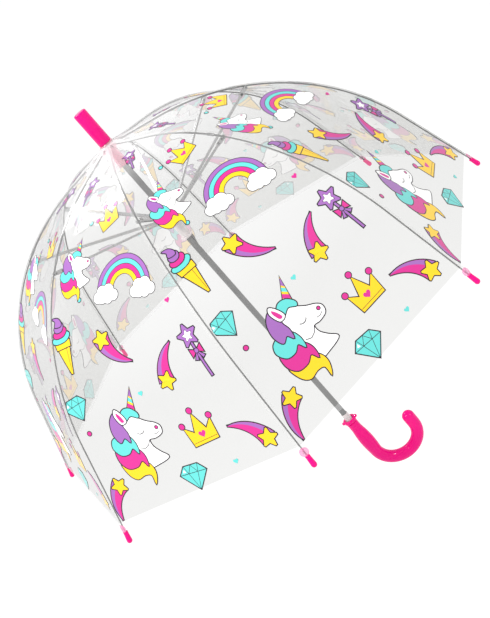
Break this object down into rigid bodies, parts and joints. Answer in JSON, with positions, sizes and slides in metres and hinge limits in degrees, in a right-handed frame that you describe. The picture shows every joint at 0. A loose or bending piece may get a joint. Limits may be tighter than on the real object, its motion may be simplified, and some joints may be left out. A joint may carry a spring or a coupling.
{
  "type": "children's umbrella",
  "caption": "Children's dome umbrella with a clear film canopy on hinged steel ribs, a sliding runner, coloured tips and ferrule, and a J-shaped handle.",
  "frame": {"origin": "on the shaft's axis at the middle of the grip, where a hand holds the open umbrella", "axes": "+Z along the shaft towards the ferrule; +X towards the open side of the handle's hook, in line with rib 1; the canopy is open at rest"},
  "size_m": [0.6852, 0.6852, 0.662],
  "materials": {
    "pink_plastic": "glossy moulded plastic",
    "clear_pink_plastic": "translucent moulded plastic",
    "clear_film": "glossy clear flexible film",
    "steel": "zinc plated"
  },
  "bodies": {
    "shaft": {"shaft_tube": "steel", "ferrule": "pink_plastic", "crown_washer": "clear_pink_plastic", "crown_notch": "clear_pink_plastic", "crown_wire": "steel", "handle_bush": "clear_pink_plastic", "handle_collar": "pink_plastic", "handle_crook": "pink_plastic"},
    "runner": {"runner": "clear_pink_plastic", "runner_wire": "steel"},
    "top_catch": {"top_catch": "steel"},
    "bottom_catch": {"bottom_catch": "steel"},
    "rib_1_upper": {"rib_1_upper": "steel", "canopy_gore_1_upper": "clear_film"},
    "rib_1_lower": {"rib_1_lower": "steel", "rib_1_tip": "pink_plastic", "canopy_gore_1_lower": "clear_film"},
    "stretcher_1": {"stretcher_1": "steel"},
    "rib_2_upper": {"rib_2_upper": "steel", "canopy_gore_2_upper": "clear_film"},
    "rib_2_lower": {"rib_2_lower": "steel", "rib_2_tip": "pink_plastic", "canopy_gore_2_lower": "clear_film"},
    "stretcher_2": {"stretcher_2": "steel"},
    "rib_3_upper": {"rib_3_upper": "steel", "canopy_gore_3_upper": "clear_film"},
    "rib_3_lower": {"rib_3_lower": "steel", "rib_3_tip": "pink_plastic", "canopy_gore_3_lower": "clear_film"},
    "stretcher_3": {"stretcher_3": "steel"},
    "rib_4_upper": {"rib_4_upper": "steel", "canopy_gore_4_upper": "clear_film"},
    "rib_4_lower": {"rib_4_lower": "steel", "rib_4_tip": "pink_plastic", "canopy_gore_4_lower": "clear_film"},
    "stretcher_4": {"stretcher_4": "steel"},
    "rib_5_upper": {"rib_5_upper": "steel", "canopy_gore_5_upper": "clear_film"},
    "rib_5_lower": {"rib_5_lower": "steel", "rib_5_tip": "pink_plastic", "canopy_gore_5_lower": "clear_film"},
    "stretcher_5": {"stretcher_5": "steel"},
    "rib_6_upper": {"rib_6_upper": "steel", "canopy_gore_6_upper": "clear_film"},
    "rib_6_lower": {"rib_6_lower": "steel", "rib_6_tip": "pink_plastic", "canopy_gore_6_lower": "clear_film"},
    "stretcher_6": {"stretcher_6": "steel"},
    "rib_7_upper": {"rib_7_upper": "steel", "canopy_gore_7_upper": "clear_film"},
    "rib_7_lower": {"rib_7_lower": "steel", "rib_7_tip": "pink_plastic", "canopy_gore_7_lower": "clear_film"},
    "stretcher_7": {"stretcher_7": "steel"},
    "rib_8_upper": {"rib_8_upper": "steel", "canopy_gore_8_upper": "clear_film"},
    "rib_8_lower": {"rib_8_lower": "steel", "rib_8_tip": "pink_plastic", "canopy_gore_8_lower": "clear_film"},
    "stretcher_8": {"stretcher_8": "steel"}
  },
  "joints": [
    {"name": "runner_slide", "type": "slide", "parent": "shaft", "child": "runner", "axis": [0, 0, -1], "range_m": [0, 0.2275]},
    {"name": "top_catch_press", "type": "slide", "parent": "shaft", "child": "top_catch", "axis": [-1, 0, 0], "range_m": [0, 0.0027], "stiffness_N_per_m": 800},
    {"name": "bottom_catch_press", "type": "slide", "parent": "shaft", "child": "bottom_catch", "axis": [-1, 0, 0], "range_m": [0, 0.0027], "stiffness_N_per_m": 800},
    {"name": "rib_1_fold", "type": "hinge", "parent": "shaft", "child": "rib_1_upper", "pos_m": [0.01, 0, 0.54], "axis": [0, 1, 0], "range_deg": [0, 70], "deforming": ["canopy_gore_1_upper"]},
    {"name": "rib_1_bend", "type": "hinge", "parent": "rib_1_upper", "child": "rib_1_lower", "pos_m": [0.17104, 0, 0.49106], "axis": [0, 1, 0], "range_deg": [-41.7, 0], "deforming": ["canopy_gore_1_lower"]},
    {"name": "stretcher_1_fold", "type": "hinge", "parent": "rib_1_upper", "child": "stretcher_1", "pos_m": [0.17104, 0, 0.49106], "axis": [0, 1, 0], "range_deg": [-136.2, 0]},
    {"name": "rib_2_fold", "type": "hinge", "parent": "shaft", "child": "rib_2_upper", "pos_m": [0.00707, 0.00707, 0.54], "axis": [-0.7071, 0.7071, 0], "range_deg": [0, 70], "deforming": ["canopy_gore_2_upper"]},
    {"name": "rib_2_bend", "type": "hinge", "parent": "rib_2_upper", "child": "rib_2_lower", "pos_m": [0.12094, 0.12094, 0.49106], "axis": [-0.7071, 0.7071, 0], "range_deg": [-41.7, 0], "deforming": ["canopy_gore_2_lower"]},
    {"name": "stretcher_2_fold", "type": "hinge", "parent": "rib_2_upper", "child": "stretcher_2", "pos_m": [0.12094, 0.12094, 0.49106], "axis": [-0.7071, 0.7071, 0], "range_deg": [-136.2, 0]},
    {"name": "rib_3_fold", "type": "hinge", "parent": "shaft", "child": "rib_3_upper", "pos_m": [0, 0.01, 0.54], "axis": [-1, 0, 0], "range_deg": [0, 70], "deforming": ["canopy_gore_3_upper"]},
    {"name": "rib_3_bend", "type": "hinge", "parent": "rib_3_upper", "child": "rib_3_lower", "pos_m": [0, 0.17104, 0.49106], "axis": [-1, 0, 0], "range_deg": [-41.7, 0], "deforming": ["canopy_gore_3_lower"]},
    {"name": "stretcher_3_fold", "type": "hinge", "parent": "rib_3_upper", "child": "stretcher_3", "pos_m": [0, 0.17104, 0.49106], "axis": [-1, 0, 0], "range_deg": [-136.2, 0]},
    {"name": "rib_4_fold", "type": "hinge", "parent": "shaft", "child": "rib_4_upper", "pos_m": [-0.00707, 0.00707, 0.54], "axis": [-0.7071, -0.7071, 0], "range_deg": [0, 70], "deforming": ["canopy_gore_4_upper"]},
    {"name": "rib_4_bend", "type": "hinge", "parent": "rib_4_upper", "child": "rib_4_lower", "pos_m": [-0.12094, 0.12094, 0.49106], "axis": [-0.7071, -0.7071, 0], "range_deg": [-41.7, 0], "deforming": ["canopy_gore_4_lower"]},
    {"name": "stretcher_4_fold", "type": "hinge", "parent": "rib_4_upper", "child": "stretcher_4", "pos_m": [-0.12094, 0.12094, 0.49106], "axis": [-0.7071, -0.7071, 0], "range_deg": [-136.2, 0]},
    {"name": "rib_5_fold", "type": "hinge", "parent": "shaft", "child": "rib_5_upper", "pos_m": [-0.01, 0, 0.54], "axis": [0, -1, 0], "range_deg": [0, 70], "deforming": ["canopy_gore_5_upper"]},
    {"name": "rib_5_bend", "type": "hinge", "parent": "rib_5_upper", "child": "rib_5_lower", "pos_m": [-0.17104, 0, 0.49106], "axis": [0, -1, 0], "range_deg": [-41.7, 0], "deforming": ["canopy_gore_5_lower"]},
    {"name": "stretcher_5_fold", "type": "hinge", "parent": "rib_5_upper", "child": "stretcher_5", "pos_m": [-0.17104, 0, 0.49106], "axis": [0, -1, 0], "range_deg": [-136.2, 0]},
    {"name": "rib_6_fold", "type": "hinge", "parent": "shaft", "child": "rib_6_upper", "pos_m": [-0.00707, -0.00707, 0.54], "axis": [0.7071, -0.7071, 0], "range_deg": [0, 70], "deforming": ["canopy_gore_6_upper"]},
    {"name": "rib_6_bend", "type": "hinge", "parent": "rib_6_upper", "child": "rib_6_lower", "pos_m": [-0.12094, -0.12094, 0.49106], "axis": [0.7071, -0.7071, 0], "range_deg": [-41.7, 0], "deforming": ["canopy_gore_6_lower"]},
    {"name": "stretcher_6_fold", "type": "hinge", "parent": "rib_6_upper", "child": "stretcher_6", "pos_m": [-0.12094, -0.12094, 0.49106], "axis": [0.7071, -0.7071, 0], "range_deg": [-136.2, 0]},
    {"name": "rib_7_fold", "type": "hinge", "parent": "shaft", "child": "rib_7_upper", "pos_m": [0, -0.01, 0.54], "axis": [1, 0, 0], "range_deg": [0, 70], "deforming": ["canopy_gore_7_upper"]},
    {"name": "rib_7_bend", "type": "hinge", "parent": "rib_7_upper", "child": "rib_7_lower", "pos_m": [0, -0.17104, 0.49106], "axis": [1, 0, 0], "range_deg": [-41.7, 0], "deforming": ["canopy_gore_7_lower"]},
    {"name": "stretcher_7_fold", "type": "hinge", "parent": "rib_7_upper", "child": "stretcher_7", "pos_m": [0, -0.17104, 0.49106], "axis": [1, 0, 0], "range_deg": [-136.2, 0]},
    {"name": "rib_8_fold", "type": "hinge", "parent": "shaft", "child": "rib_8_upper", "pos_m": [0.00707, -0.00707, 0.54], "axis": [0.7071, 0.7071, 0], "range_deg": [0, 70], "deforming": ["canopy_gore_8_upper"]},
    {"name": "rib_8_bend", "type": "hinge", "parent": "rib_8_upper", "child": "rib_8_lower", "pos_m": [0.12094, -0.12094, 0.49106], "axis": [0.7071, 0.7071, 0], "range_deg": [-41.7, 0], "deforming": ["canopy_gore_8_lower"]},
    {"name": "stretcher_8_fold", "type": "hinge", "parent": "rib_8_upper", "child": "stretcher_8", "pos_m": [0.12094, -0.12094, 0.49106], "axis": [0.7071, 0.7071, 0], "range_deg": [-136.2, 0]}
  ],
  "couplings": [
    {"joint": "rib_1_fold", "follows": "runner_slide", "rad_per_m": 5.3697},
    {"joint": "rib_1_bend", "follows": "runner_slide", "rad_per_m": -3.1988},
    {"joint": "stretcher_1_fold", "follows": "runner_slide", "rad_per_m": -10.448},
    {"joint": "rib_2_fold", "follows": "runner_slide", "rad_per_m": 5.3697},
    {"joint": "rib_2_bend", "follows": "runner_slide", "rad_per_m": -3.1988},
    {"joint": "stretcher_2_fold", "follows": "runner_slide", "rad_per_m": -10.448},
    {"joint": "rib_3_fold", "follows": "runner_slide", "rad_per_m": 5.3697},
    {"joint": "rib_3_bend", "follows": "runner_slide", "rad_per_m": -3.1988},
    {"joint": "stretcher_3_fold", "follows": "runner_slide", "rad_per_m": -10.448},
    {"joint": "rib_4_fold", "follows": "runner_slide", "rad_per_m": 5.3697},
    {"joint": "rib_4_bend", "follows": "runner_slide", "rad_per_m": -3.1988},
    {"joint": "stretcher_4_fold", "follows": "runner_slide", "rad_per_m": -10.448},
    {"joint": "rib_5_fold", "follows": "runner_slide", "rad_per_m": 5.3697},
    {"joint": "rib_5_bend", "follows": "runner_slide", "rad_per_m": -3.1988},
    {"joint": "stretcher_5_fold", "follows": "runner_slide", "rad_per_m": -10.448},
    {"joint": "rib_6_fold", "follows": "runner_slide", "rad_per_m": 5.3697},
    {"joint": "rib_6_bend", "follows": "runner_slide", "rad_per_m": -3.1988},
    {"joint": "stretcher_6_fold", "follows": "runner_slide", "rad_per_m": -10.448},
    {"joint": "rib_7_fold", "follows": "runner_slide", "rad_per_m": 5.3697},
    {"joint": "rib_7_bend", "follows": "runner_slide", "rad_per_m": -3.1988},
    {"joint": "stretcher_7_fold", "follows": "runner_slide", "rad_per_m": -10.448},
    {"joint": "rib_8_fold", "follows": "runner_slide", "rad_per_m": 5.3697},
    {"joint": "rib_8_bend", "follows": "runner_slide", "rad_per_m": -3.1988},
    {"joint": "stretcher_8_fold", "follows": "runner_slide", "rad_per_m": -10.448}
  ]
}
